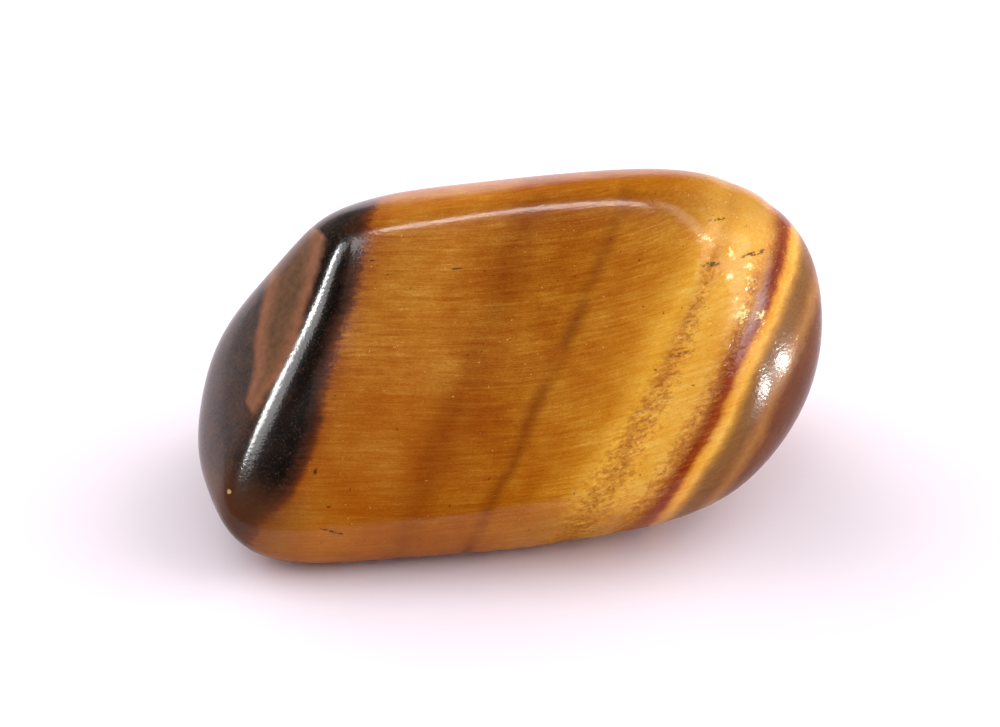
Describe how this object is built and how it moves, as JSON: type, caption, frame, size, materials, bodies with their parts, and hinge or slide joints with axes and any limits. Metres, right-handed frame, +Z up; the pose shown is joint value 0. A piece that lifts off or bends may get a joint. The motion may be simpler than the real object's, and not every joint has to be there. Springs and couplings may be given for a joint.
{
  "type": "tumbled and polished tiger's eye stone",
  "caption": "Polished tumbled tiger's eye stone with a broad gold face, rounded ridges, dark end and banded layers, lying on a worn flat.",
  "frame": {"origin": "on the resting surface, under the middle of the stone's box", "axes": "+Z up, +X along the stone's long axis towards its rounded banded end, -Y towards the broad gold face"},
  "size_m": [0.0296, 0.0166, 0.0154],
  "materials": {
    "tigers_eye": "polished, silky golden-brown bands with dark brown ends"
  },
  "bodies": {
    "root": {"stone": "tigers_eye"}
  },
  "joints": []
}
